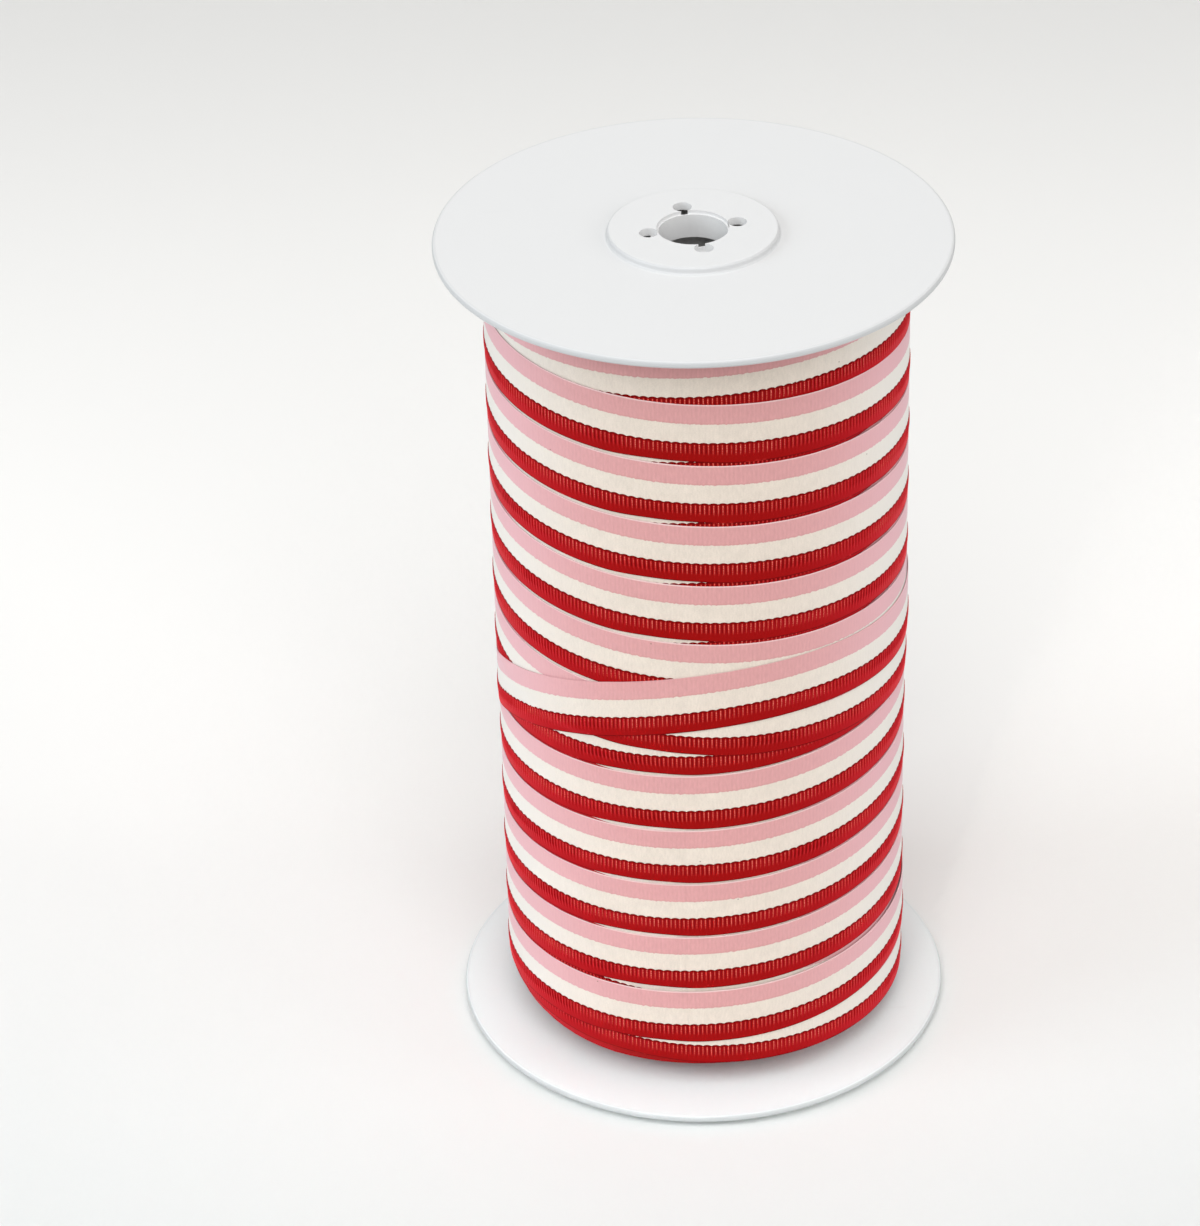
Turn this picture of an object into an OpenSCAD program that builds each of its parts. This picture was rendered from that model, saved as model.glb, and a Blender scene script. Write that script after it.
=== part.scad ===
// Ribbon spool: two moulded flanges on a core tube, wound with three-stripe ribbon.
// The spool stands on end. Z is its axis, and z = 0 is the lower hub's face.

/* [Flanges] */
// Diameter of each flange
flange_d = 100; // [90:1:130]
// Thickness of a flange's disc
flange_t = 1.5; // [1.2:0.1:2.5]
// Radius that rounds the two edges of the rim
rim_r = 0.6; // [0.2:0.1:0.6]
// Distance between the inner faces of the two flanges
winding_space = 173; // [140:1:240]

/* [Hub] */
// Height of the raised hub above the flange's disc
hub_rise = 1.45; // [1:0.05:3]
// How far the hub's side stands outside the core tube's bore
hub_margin = 0.5; // [0.3:0.1:2]
// Radius of the fillet at the foot of the hub and of its rounded edge
hub_fillet = 0.5; // [0.2:0.1:0.7]
// Thickness of the hub's plate over its hollow
plate_t = 1.6; // [1.4:0.1:2.4]
// Diameter of the spindle bore
bore_d = 13.3; // [10:0.1:16]
// Step from the bore out to the rebate round its mouth
rebate_step = 0.35; // [0.2:0.05:1]
// Depth of the rebate
rebate_depth = 0.75; // [0.3:0.05:1]
// Wall of the sleeve that carries the bore
sleeve_wall = 1.5; // [1.2:0.1:2]
// Length of the sleeve, from the hub's face
sleeve_len = 5.6; // [4:0.1:14]

/* [Drive holes] */
// Number of drive holes round the bore
drive_count = 4; // [2:1:6]
// Diameter of a drive hole
drive_d = 3.7; // [2:0.1:4.5]
// How far the drive holes break into the rebate's wall
drive_bite = 0.15; // [0.05:0.05:0.3]
// Angle of the first drive hole from the X axis
drive_turn = 12; // [0:1:90]

/* [Core] */
// Outer diameter of the core tube
core_d = 36; // [34:0.5:48]
// Wall of the core tube
core_wall = 2; // [1:0.1:3]
// Length of each flange's spigot inside the tube
spigot_len = 12; // [8:1:25]
// Wall of the spigot
spigot_wall = 1.6; // [1:0.1:2]
// Radial clearance between spigot and tube
spigot_gap = 0.05; // [0.02:0.01:0.1]
// Number of ribs between sleeve and spigot
rib_count = 4; // [2:1:6]
// Thickness of a rib
rib_t = 1.2; // [0.8:0.1:1.6]

/* [Ribbon] */
// Diameter over the outer run of ribbon
wound_d = 82.5; // [70:1:86]
// Width of the ribbon
ribbon_w = 12.5; // [9:0.5:16]
// Thickness of the ribbon
ribbon_t = 0.35; // [0.2:0.05:0.6]
// Radial space between two runs
run_gap = 0.05; // [0.03:0.01:0.1]
// Clearance under the loose end
tail_gap = 0.3; // [0.3:0.05:0.6]
// Space between the lower flange and the runs' lowest edge
low_gap = 5.3; // [2:0.1:10]
// Space between the upper flange and the runs' highest edge
high_gap = 2.1; // [1:0.1:8]
// Height of the outer run's lower edge above the lower flange
outer_run_low = 79; // [40:1:90]
// Height of the last turn's top edge above the lower flange, at its crest
crest_h = 101.5; // [95:0.5:110]
// How far the last turn climbs to its crest
crest_climb = 18; // [5:1:25]
// Angle that the loose end covers
tail_angle = 60; // [30:5:90]

/* [Tapes] */
// Thickness of the tapes
tape_t = 0.12; // [0.08:0.01:0.15]
// Width of the tapes
tape_w = 9; // [6:1:12]
// Length of the tapes
tape_len = 20; // [12:1:30]

/* [Hidden] */
$fn = 96;

flange_r = flange_d / 2;
hub_top = flange_t + hub_rise;
plate_under = hub_top - plate_t;
core_r = core_d / 2;
core_ir = core_r - core_wall;
spigot_r = core_ir - spigot_gap;
spigot_ir = spigot_r - spigot_wall;
spigot_chamfer = spigot_wall / 2;
hub_r = core_ir + hub_margin;
bore_r = bore_d / 2;
rebate_r = bore_r + rebate_step;
sleeve_r = bore_r + sleeve_wall;
drive_r = drive_d / 2;
drive_pitch_r = rebate_r + drive_r - drive_bite;
drive_ledge = 0.2;
rib_h = (plate_under + spigot_len) / 4;
rib_sink = 0.3;

// Heights of the flanges' inner faces
low_face = hub_top;
high_face = hub_top + winding_space;

// Radii of the runs, from the outside in
outer_r = wound_d / 2;
run_pitch = ribbon_t + run_gap;
rising_r = outer_r - run_pitch;
under_r = rising_r - run_pitch;
pack_r = under_r - run_pitch;
last_r = outer_r + run_pitch;
tail_ir = outer_r + tail_gap;
tail_r = tail_ir + ribbon_t;
runs_low = low_face + low_gap;
runs_high = high_face - high_gap;

// The pack lies closest to the flanges near the core and tapers to the runs' edges
pack_ir = core_r + tape_t + 2 * run_gap;
pack_end_gap = 0.8;
pack_shoulder_r = pack_ir + (pack_r - pack_ir) * 0.65;

// The last turn climbs from the left, levels off, and leaves as the loose end
last_start = -180;
last_end = 10;
crest_turn = 125;
last_steps = 60;
tail_start = last_end + 0.5;
crest_top = low_face + crest_h;

arc_steps = 6;

// Points on an arc round (x, y), from angle a to angle b
function arc(x, y, r, a, b) = [
    for (i = [0:arc_steps])
        [x + r * cos(a + (b - a) * i / arc_steps), y + r * sin(a + (b - a) * i / arc_steps)]
];

// Outline of a flange, hub, sleeve and spigot, with the disc's inner face at y = 0
function flange_outline() = concat(
    [
        [bore_r, hub_top - sleeve_len],
        [sleeve_r, hub_top - sleeve_len],
        [sleeve_r, plate_under],
        [spigot_ir, plate_under],
        [spigot_ir, -spigot_len],
        [spigot_r - spigot_chamfer, -spigot_len],
        [spigot_r, spigot_chamfer - spigot_len],
        [spigot_r, 0]
    ],
    arc(flange_r - rim_r, rim_r, rim_r, -90, 0),
    arc(flange_r - rim_r, flange_t - rim_r, rim_r, 0, 90),
    arc(hub_r + hub_fillet, flange_t + hub_fillet, hub_fillet, 270, 180),
    arc(hub_r - hub_fillet, hub_top - hub_fillet, hub_fillet, 0, 90),
    [
        [rebate_r, hub_top],
        [rebate_r, hub_top - rebate_depth],
        [bore_r, hub_top - rebate_depth]
    ]
);

module flange_body() {
    rotate_extrude() polygon(flange_outline());
}

module drive_holes() {
    for (i = [0:drive_count - 1])
        rotate([0, 0, drive_turn + i * 360 / drive_count])
            translate([drive_pitch_r, 0, plate_under - drive_ledge])
                cylinder(r = drive_r, h = plate_t + hub_top);
}

module hub_ribs() {
    for (i = [0:rib_count - 1])
        rotate([0, 0, drive_turn + (i + 0.5) * 360 / rib_count])
            translate([sleeve_r - rib_sink, -rib_t / 2, plate_under - rib_h])
                cube([spigot_ir - sleeve_r + 2 * rib_sink, rib_t, rib_h + rib_sink]);
}

// One flange moulding, with the disc's inner face at z = 0 and its hub upwards
module flange() {
    difference() {
        union() {
            flange_body();
            hub_ribs();
        }
        drive_holes();
    }
}

// A plain run of ribbon: a sleeve of outer radius r between two heights
module run(r, low, high) {
    translate([0, 0, low])
        difference() {
            cylinder(r = r, h = high - low);
            translate([0, 0, -1]) cylinder(r = r - ribbon_t, h = high - low + 2);
        }
}

// A curved strip of height h and thickness t on radius r, from angle a over a sweep
module strip(r, t, h, a, sweep) {
    rotate([0, 0, a])
        rotate_extrude(angle = sweep)
            translate([r, 0]) square([t, h]);
}

// Angle that a length covers on a radius
function sweep_of(length, r) = length / r * 180 / PI;

// Height of the last turn's top edge at an angle
function last_top(a) = crest_top
    - (a < last_start + crest_turn ? crest_climb * (1 - sin(90 * (a - last_start) / crest_turn)) : 0);

// The four corners of the last turn's section at an angle
function last_section(a) = [
    for (c = [[last_r - ribbon_t, -ribbon_w], [last_r, -ribbon_w], [last_r, 0], [last_r - ribbon_t, 0]])
        [c[0] * cos(a), c[0] * sin(a), last_top(a) + c[1]]
];

module top_flange() {
    color("whitesmoke") translate([0, 0, high_face]) flange();
}

// The same moulding turned over, with its drive holes in line with the upper ones. The
// moulding is symmetrical about a plane through a drive hole, so a mirror turns it over.
module bottom_flange() {
    color("whitesmoke") translate([0, 0, low_face]) mirror([0, 0, 1]) flange();
}

module core_tube() {
    color("tan")
        translate([0, 0, low_face])
            difference() {
                cylinder(r = core_r, h = winding_space);
                translate([0, 0, -1]) cylinder(r = core_ir, h = winding_space + 2);
            }
}

module start_tape() {
    color("ivory")
        translate([0, 0, runs_low])
            strip(core_r + run_gap, tape_t, tape_w, 0, sweep_of(tape_len, core_r));
}

module ribbon_pack() {
    color("mistyrose")
        rotate_extrude()
            polygon([
                [pack_ir, low_face + pack_end_gap],
                [pack_shoulder_r, low_face + pack_end_gap],
                [pack_r, runs_low],
                [pack_r, runs_high],
                [pack_shoulder_r, high_face - pack_end_gap],
                [pack_ir, high_face - pack_end_gap]
            ]);
}

module ribbon_under_run() {
    color("crimson") run(under_r, runs_low, runs_high);
}

module ribbon_rising_run() {
    color("pink") run(rising_r, runs_low, runs_high);
}

module ribbon_outer_run() {
    color("lightpink") run(outer_r, low_face + outer_run_low, runs_high);
}

module ribbon_last_turn() {
    rings = [
        for (i = [0:last_steps])
            last_section(last_start + (last_end - last_start) * i / last_steps)
    ];
    sides = [
        for (i = [0:last_steps - 1], k = [0:3])
            [4 * i + k, 4 * (i + 1) + k, 4 * (i + 1) + (k + 1) % 4, 4 * i + (k + 1) % 4]
    ];
    ends = [[0, 1, 2, 3], [for (k = [3:-1:0]) 4 * last_steps + k]];
    color("crimson")
        polyhedron(points = [for (ring = rings) each ring], faces = concat(sides, ends), convexity = 6);
}

module ribbon_tail() {
    color("pink")
        translate([0, 0, crest_top - ribbon_w])
            strip(tail_ir, ribbon_t, ribbon_w, tail_start, tail_angle);
}

module end_tape() {
    color("ivory")
        translate([0, 0, crest_top - (ribbon_w + tape_w) / 2])
            strip(tail_r + run_gap, tape_t, tape_w,
                tail_start + tail_angle - sweep_of(tape_len, tail_r) / 2, sweep_of(tape_len, tail_r));
}

top_flange();
bottom_flange();
core_tube();
start_tape();
ribbon_pack();
ribbon_under_run();
ribbon_rising_run();
ribbon_outer_run();
ribbon_last_turn();
ribbon_tail();
end_tape();
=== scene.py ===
# The looks of a ribbon spool: the winding is drawn here, and the rest is the frame's own nodes
import math

import bpy
from mathutils import Matrix, Vector


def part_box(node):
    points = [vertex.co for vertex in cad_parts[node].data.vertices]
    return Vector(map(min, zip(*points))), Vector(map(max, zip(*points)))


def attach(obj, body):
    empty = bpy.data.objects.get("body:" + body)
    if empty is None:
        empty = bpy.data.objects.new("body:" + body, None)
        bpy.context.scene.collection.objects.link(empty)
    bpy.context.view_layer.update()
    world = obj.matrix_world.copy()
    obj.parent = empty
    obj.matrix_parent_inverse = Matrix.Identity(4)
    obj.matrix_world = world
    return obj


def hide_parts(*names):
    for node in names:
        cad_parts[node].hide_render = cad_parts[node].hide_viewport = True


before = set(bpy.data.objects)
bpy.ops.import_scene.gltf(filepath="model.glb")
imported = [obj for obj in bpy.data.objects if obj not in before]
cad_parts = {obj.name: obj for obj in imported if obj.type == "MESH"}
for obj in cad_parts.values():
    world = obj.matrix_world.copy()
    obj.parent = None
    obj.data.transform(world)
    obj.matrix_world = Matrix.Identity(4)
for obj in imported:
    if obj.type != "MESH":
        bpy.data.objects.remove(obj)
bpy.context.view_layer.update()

MM = 0.001

# ---------------------------------------------------------------------------
# Sizes of the winding, all from the frame
# ---------------------------------------------------------------------------
RIBBON_W = 12.5 * MM
RIBBON_T = 0.22 * MM
RUN_STEP = 0.24 * MM  # how far one run's face stands outside the one under it
PACK_STEP = 0.4 * MM  # the same for the turns of the pack
PINK_W = 4.15 * MM
CREAM_W = 4.2 * MM
RED_TOP = PINK_W + CREAM_W
RIBS_PER_TURN = 300
RIBS_PER_TILE = 64  # the ribbon's own map repeats after this many ribs
MAP_EDGE = 0.5 * MM  # blank margin of the map beyond each edge of the ribbon
OFF_CENTRE = 0.45 * MM  # the soft winding sits a little to one side of the core

OUTER_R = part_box("ribbon_outer_run")[1].x
RISING_R = OUTER_R - RUN_STEP
UNDER_R = RISING_R - RUN_STEP
TAIL_STEP = 0.25 * MM  # how far the loose end stands outside the last turn
RUNS_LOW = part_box("ribbon_under_run")[0].z
RUNS_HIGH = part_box("ribbon_under_run")[1].z
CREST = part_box("ribbon_last_turn")[1].z
CORE_LOW, CORE_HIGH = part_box("core_tube")
PACK_IN_R = CORE_HIGH.x + 0.2 * MM
PACK_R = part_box("ribbon_pack")[1].x

# The path of the ribbon is a height for each turn. Turn 0 faces the front, and the
# ribbon runs round to the right. It comes down, turns back at LOW_TURN, climbs to
# HIGH_TURN, comes down again, and crosses itself in the last turn.
PITCH = 13.02 * MM
WIDER_PITCH = 0.335 * MM  # the climbing run opens up by this much a turn above WIDER_TURN
WIDER_TURN = 5.0
OUTER_PITCH = 13.20 * MM
# Where the ribbon turns back, and how round the bend in its edge is there
LOW_TURN, LOW_ROUND = 0.29, 3.2 * MM
HIGH_TURN, HIGH_ROUND = 12.07, 2.05 * MM
START_TURN, START_ROUND = -11.6, 1.6 * MM
PACK_TURNS = (RUNS_HIGH - RUNS_LOW - RIBBON_W) / PITCH
LAST_TURN = 18.75
JOIN_SHARE = 0.05  # of a turn each way, over which the last turn leaves the outer run
TAIL_TURN = 19 + 100.9 / 360  # just past the line that the loose end turns about
TAIL_GAP = 0.0012  # turns left open there
LAST_FROM, LAST_TO = LAST_TURN - JOIN_SHARE, TAIL_TURN - TAIL_GAP
TAIL_END_TURN = 19 + 160.5 / 360  # the ribbon's cut end
CREST_SWEEP = 125 / 360  # turns over which the last turn climbs
CREST_CLIMB = 18 * MM  # how far it climbs to its crest
CREST_FALL = 1.5 * MM  # how far it comes down again behind the spool
LOW_TOP = RUNS_LOW + RIBBON_W - LOW_ROUND + 0.6 * MM
HIGH_TOP = RUNS_HIGH + 1.81 * MM
RISEN = 0.55 * MM  # the climbing run lies this much higher after its first turn
SUNK = 0.87 * MM  # and this much lower again under the outer run
PINCH = 0.32 * MM  # how far the lower edge draws up once a turn
INNER_PINCH, OUTER_PINCH = -0.055, -0.026  # where it does, in turns from the front
START_DIP = 0.8 * MM  # the lowest turn lies this much lower
HUMP = 0.95 * MM  # the last turn bows up by this much as it climbs
CLIMBED = LOW_TOP + PITCH * (HIGH_TURN - LOW_TURN) + RISEN + WIDER_PITCH * (HIGH_TURN - WIDER_TURN)
TOP_ROUND = CLIMBED - (HIGH_TOP - HIGH_ROUND)  # so that the climb meets the outer run


# ---------------------------------------------------------------------------
# Wiring nodes
# ---------------------------------------------------------------------------
class Wires:
    """Adds nodes to a tree. A value is either a number or another node's socket."""

    def __init__(self, tree):
        self.tree = tree

    def put(self, socket, value):
        if value is None:
            return
        if isinstance(value, bpy.types.NodeSocket):
            self.tree.links.new(value, socket)
        else:
            socket.default_value = value

    def node(self, kind, settings=None, **inputs):
        n = self.tree.nodes.new(kind)
        for key, value in (settings or {}).items():
            setattr(n, key, value)
        for key, value in inputs.items():
            self.put(n.inputs[key.replace("_", " ")], value)
        return n

    def math(self, operation, *values):
        n = self.tree.nodes.new("ShaderNodeMath")
        n.operation = operation
        for socket, value in zip(n.inputs, values):
            self.put(socket, value)
        return n.outputs[0]

    def add(self, *v):
        out = v[0]
        for x in v[1:]:
            out = self.math("ADD", out, x)
        return out

    def sub(self, a, b):
        return self.math("SUBTRACT", a, b)

    def mul(self, *v):
        out = v[0]
        for x in v[1:]:
            out = self.math("MULTIPLY", out, x)
        return out

    def div(self, a, b):
        return self.math("DIVIDE", a, b)

    def power(self, a, b):
        return self.math("POWER", a, b)

    def step(self, low, high, value):
        """0 below low, 1 above high, and smooth between them."""
        n = self.tree.nodes.new("ShaderNodeMapRange")
        n.interpolation_type = "SMOOTHSTEP"
        self.put(n.inputs[0], value)
        self.put(n.inputs[1], low)
        self.put(n.inputs[2], high)
        return n.outputs[0]

    def clamp(self, value):
        n = self.tree.nodes.new("ShaderNodeClamp")
        self.put(n.inputs[0], value)
        return n.outputs[0]

    def bent(self, x, roundness):
        """|x| with its corner rounded off."""
        return self.math("SQRT", self.add(self.mul(x, x), roundness * roundness))

    def corner(self, x, roundness):
        """How far bent(x) stands above |x|."""
        return self.sub(self.bent(x, roundness), self.math("ABSOLUTE", x))

    def wander(self, value, scale, amount):
        """A slow random drift of about plus or minus amount."""
        n = self.tree.nodes.new("ShaderNodeTexNoise")
        n.noise_dimensions = "1D"
        self.put(n.inputs["W"], self.mul(value, scale))
        n.inputs["Scale"].default_value = 1.0
        n.inputs["Detail"].default_value = 1.0
        return self.mul(self.sub(n.outputs[0], 0.5), 2 * amount)

    def mix(self, factor, a, b):
        """A colour mixed from a to b."""
        n = self.tree.nodes.new("ShaderNodeMix")
        n.data_type = "RGBA"
        n.clamp_factor = True
        for socket, value in ((n.inputs[0], factor), (n.inputs[6], a), (n.inputs[7], b)):
            if isinstance(value, tuple):
                value = (*value, 1.0)
            self.put(socket, value)
        return n.outputs[2]

    def noise(self, place, detail=2.0, scale=1.0):
        """Soft noise from 0 to 1."""
        return self.node("ShaderNodeTexNoise", Vector=place, Scale=scale, Detail=detail).outputs[0]

    def bump(self, height, strength, distance):
        """A normal roughened by a height."""
        n = self.node("ShaderNodeBump", Height=height, Strength=strength, Distance=distance)
        return n.outputs[0]

    def vector(self, x, y, z=0.0):
        n = self.tree.nodes.new("ShaderNodeCombineXYZ")
        for socket, value in zip(n.inputs, (x, y, z)):
            self.put(socket, value)
        return n.outputs[0]

    def apart(self, vector):
        n = self.tree.nodes.new("ShaderNodeSeparateXYZ")
        self.put(n.inputs[0], vector)
        return n.outputs


def new_group(name, kind, inputs, outputs):
    """An empty node group with its named sockets. Returns its wires, inputs and output node."""
    group = bpy.data.node_groups.new(name, kind)
    for socket, label, default in inputs:
        item = group.interface.new_socket(label, in_out="INPUT", socket_type="NodeSocket" + socket)
        if default is not None:
            item.default_value = default
    for socket, label in outputs:
        group.interface.new_socket(label, in_out="OUTPUT", socket_type="NodeSocket" + socket)
    w = Wires(group)
    return w, group.nodes.new("NodeGroupInput").outputs, group.nodes.new("NodeGroupOutput").inputs


def use_group(w, group, **inputs):
    kind = {"GeometryNodeTree": "GeometryNodeGroup", "ShaderNodeTree": "ShaderNodeGroup"}[group.bl_idname]
    n = w.tree.nodes.new(kind)
    n.node_tree = group
    for key, value in inputs.items():
        w.put(n.inputs[key.replace("_", " ")], value)
    return n.outputs


# ---------------------------------------------------------------------------
# Paths: where the ribbon lies at each turn
# ---------------------------------------------------------------------------
PATH_INPUTS = [("Float", "Turn", 0.0), ("Float", "Across", 0.0)]
PATH_OUTPUTS = [("Float", "Height"), ("Float", "Radius")]


def path_wires(name):
    w, ins, out = new_group(name, "GeometryNodeTree", PATH_INPUTS, PATH_OUTPUTS)
    return w, ins["Turn"], ins["Across"], out


def drift(w, turn):
    """The winding's slow unevenness, the same on both runs where they meet."""
    return w.wander(turn, 2.1, 0.22 * MM)


def pinch(w, turn, across, place):
    """Once a turn the ribbon's lower edge draws up a little, and the run beneath shows."""
    part = w.sub(w.math("FRACT", w.add(turn, 20.5 - place)), 0.5)
    near = w.sub(1.0, w.step(0.012, 0.05, w.math("ABSOLUTE", part)))
    return w.mul(near, w.step(RED_TOP, RIBBON_W, across), PINCH)


def outer_height(w, turn):
    """Height of the outer run's top edge: it comes down from HIGH_TURN."""
    x = w.mul(w.sub(turn, HIGH_TURN), OUTER_PITCH)
    return w.sub(w.add(HIGH_TOP, drift(w, turn)), w.bent(x, HIGH_ROUND))


def make_inner_path():
    """The run that comes down and the one that climbs back over it."""
    w, turn, across, out = path_wires("path of the two inner runs")
    x = w.mul(w.sub(turn, LOW_TURN), PITCH)
    high = w.mul(w.sub(turn, HIGH_TURN), PITCH)
    start = w.mul(w.sub(turn, START_TURN), PITCH)
    top = w.add(LOW_TOP, w.bent(x, LOW_ROUND), drift(w, turn), w.mul(w.step(1.0, 2.0, turn), RISEN))
    top = w.sub(top, w.mul(w.sub(1.0, w.step(0.12, 0.6, turn)), START_DIP))
    opened = w.math("MAXIMUM", w.sub(turn, WIDER_TURN), 0.0)
    sunk = w.sub(w.step(4.5, 7.5, turn), w.step(11.35, 11.95, turn))
    top = w.sub(w.add(top, w.mul(opened, WIDER_PITCH)), w.mul(sunk, SUNK))
    top = w.sub(top, w.add(w.corner(high, TOP_ROUND), w.corner(start, START_ROUND)))
    w.put(out["Height"], w.add(w.sub(top, across), pinch(w, turn, across, INNER_PINCH)))
    # The ribbon steps outwards where it turns back over its own last turn
    lift = w.step(-0.15, -0.02, turn)
    over = w.mul(w.step(0.84, 0.94, turn), w.sub(1.0, w.step(1.32, 1.42, turn)))
    w.put(out["Radius"], w.add(UNDER_R, w.mul(w.add(lift, over), RUN_STEP)))
    return w.tree


def make_outer_path():
    """The run that comes down over the upper half and can be seen there."""
    w, turn, across, out = path_wires("path of the outer run")
    w.put(out["Height"], w.add(w.sub(outer_height(w, turn), across), pinch(w, turn, across, OUTER_PINCH)))
    lift = w.step(HIGH_TURN, HIGH_TURN + 0.15, turn)
    w.put(out["Radius"], w.add(RISING_R, w.mul(lift, RUN_STEP)))
    return w.tree


def make_last_path():
    """The last turn climbs over the outer run to a crest, and leaves as the loose end."""
    w, turn, across, out = path_wires("path of the last turn and the loose end")
    along = w.clamp(w.div(w.sub(turn, LAST_TURN), CREST_SWEEP))
    climb = w.mul(w.sub(1.0, w.math("SINE", w.mul(along, math.pi / 2))), CREST_CLIMB)
    fall = w.mul(w.step(LAST_TURN + CREST_SWEEP, LAST_TURN + CREST_SWEEP + 0.14, turn), CREST_FALL)
    hump = w.math("SINE", w.mul(w.clamp(w.mul(w.sub(turn, LAST_TURN + 30 / 360), 3.0)), math.pi))
    crossing = w.add(w.sub(CREST, w.add(climb, fall)), w.mul(hump, hump, HUMP))
    before = outer_height(w, turn)
    joined = w.step(LAST_TURN - JOIN_SHARE, LAST_TURN + JOIN_SHARE, turn)
    top = w.add(w.mul(before, w.sub(1.0, joined)), w.mul(crossing, joined))
    height = w.sub(top, across)
    w.put(out["Height"], height)
    # It lies on the outer run where that is under it, and against the rising run below
    under = w.sub(outer_height(w, w.sub(turn, 1.0)), RIBBON_W)
    lift = w.mul(w.step(-1.6 * MM, 0.4 * MM, w.sub(height, under)), RUN_STEP)
    away = w.mul(w.step(TAIL_TURN - 0.06, TAIL_TURN, turn), TAIL_STEP)
    w.put(out["Radius"], w.add(OUTER_R, lift, away))
    return w.tree


def make_pack_path():
    """The outermost hidden run, which climbs to where the under run starts."""
    w, turn, across, out = path_wires("path of the pack's face")
    x = w.mul(w.sub(turn, START_TURN), PITCH)
    w.put(out["Height"], w.sub(w.sub(RUNS_HIGH, w.math("ABSOLUTE", x)), across))
    w.put(out["Radius"], PACK_R)
    return w.tree


def make_pack_end_path(name, edge, shoulder_z, end_z, sign):
    """The ribbon's edges at one end of the pack: a spiral whose turns end at uneven heights."""
    w, turn, across, out = path_wires(name)
    radius = w.add(PACK_IN_R, w.mul(turn, PACK_STEP))
    shoulder_r = PACK_IN_R + (PACK_R - PACK_IN_R) * 0.65
    taper = w.mul(w.clamp(w.div(w.sub(radius, shoulder_r), PACK_R - shoulder_r)), end_z - shoulder_z)
    # Neighbouring turns end at different heights, and no two turns repeat each other
    turned = w.math("ABSOLUTE", w.math("SINE", w.mul(turn, math.pi * 1.31)))
    uneven = w.add(w.mul(turned, 1.3 * MM), w.wander(turn, 5.3, 0.5 * MM))
    at_edge = w.add(shoulder_z, taper, w.mul(uneven, sign))
    w.put(out["Height"], w.sub(w.add(at_edge, edge), across))
    w.put(out["Radius"], radius)
    return w.tree


# ---------------------------------------------------------------------------
# Strips: ribbon laid along a path
# ---------------------------------------------------------------------------
STRIP_INPUTS = [
    ("Float", "First turn", 0.0),
    ("Float", "Last turn", 1.0),
    ("Float", "Steps per turn", 160.0),
    ("Int", "Rows", 9),
    ("Float", "Top edge", 0.0),
    ("Float", "Bottom edge", RIBBON_W),
    ("Float", "Face inset", 0.0),
    ("Float", "Back inset", RIBBON_T),
    ("Float", "Map start", 0.0),
    ("Material", "Material", None),
]
GEOMETRY_OUT = [("Geometry", "Geometry")]


def strip_start(name):
    return new_group(name, "GeometryNodeTree", STRIP_INPUTS, GEOMETRY_OUT)


def strip_grid(w, ins):
    """A grid that closes round the strip's section. Returns mesh, turn, across share, depth, cap."""
    steps = w.math("CEIL", w.mul(w.sub(ins["Last turn"], ins["First turn"]), ins["Steps per turn"]))
    columns = w.add(steps, 3)
    grid = w.node("GeometryNodeMeshGrid", Size_X=1.0, Size_Y=1.0)
    w.put(grid.inputs["Vertices X"], columns)
    w.put(grid.inputs["Vertices Y"], w.add(ins["Rows"], 4))
    place = w.apart(w.node("GeometryNodeInputPosition").outputs[0])
    i = w.math("ROUND", w.mul(w.add(place[0], 0.5), w.sub(columns, 1)))
    j = w.math("ROUND", w.mul(w.add(place[1], 0.5), w.add(ins["Rows"], 3)))
    rows = ins["Rows"]
    share = w.sub(w.clamp(w.div(j, rows)), w.clamp(w.sub(w.sub(j, rows), 1)))
    depth = w.sub(w.clamp(w.sub(j, rows)), w.clamp(w.sub(w.sub(j, rows), 2)))
    along = w.clamp(w.div(w.sub(i, 1), steps))
    turn = w.add(ins["First turn"], w.mul(along, w.sub(ins["Last turn"], ins["First turn"])))
    cap = w.add(w.math("LESS_THAN", i, 0.5), w.math("GREATER_THAN", i, w.sub(columns, 1.5)))
    return grid.outputs["Mesh"], turn, share, depth, cap


def strip_finish(w, ins, out, mesh, turn, across, radius, height):
    """Places the grid's points, draws the map, closes the ends and sets the material."""
    angle = w.mul(turn, 2 * math.pi)
    x = w.add(w.mul(radius, w.math("SINE", angle)), OFF_CENTRE)
    y = w.mul(radius, w.math("COSINE", angle), -1.0)
    # The map is kept before the points move, because the grid's place gives turn and across
    tile = w.div(w.mul(w.sub(turn, ins["Map start"]), RIBS_PER_TURN), RIBS_PER_TILE)
    mapped = w.vector(tile, w.sub(1.0, w.div(w.add(across, MAP_EDGE), RIBBON_W + 2 * MAP_EDGE)))
    store = w.node(
        "GeometryNodeStoreNamedAttribute", {"data_type": "FLOAT2", "domain": "CORNER"},
        Geometry=mesh, Name="OFBake", Value=mapped,
    )
    moved = w.node("GeometryNodeSetPosition", Geometry=store.outputs[0], Position=w.vector(x, y, height))
    merged = w.node("GeometryNodeMergeByDistance", Geometry=moved.outputs[0], Distance=1e-6)
    edge = w.math("GREATER_THAN", w.node("GeometryNodeInputMeshEdgeAngle").outputs[0], math.radians(60))
    creased = w.node(
        "GeometryNodeSetShadeSmooth", {"domain": "EDGE"},
        Geometry=merged.outputs[0], Selection=edge, Shade_Smooth=False,
    )
    # The grid turns its back outward on this path, so its faces are turned round
    outward = w.node("GeometryNodeFlipFaces", Mesh=creased.outputs[0])
    clothed = w.node("GeometryNodeSetMaterial", Geometry=outward.outputs[0], Material=ins["Material"])
    w.put(out["Geometry"], clothed.outputs[0])
    return w.tree


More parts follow.
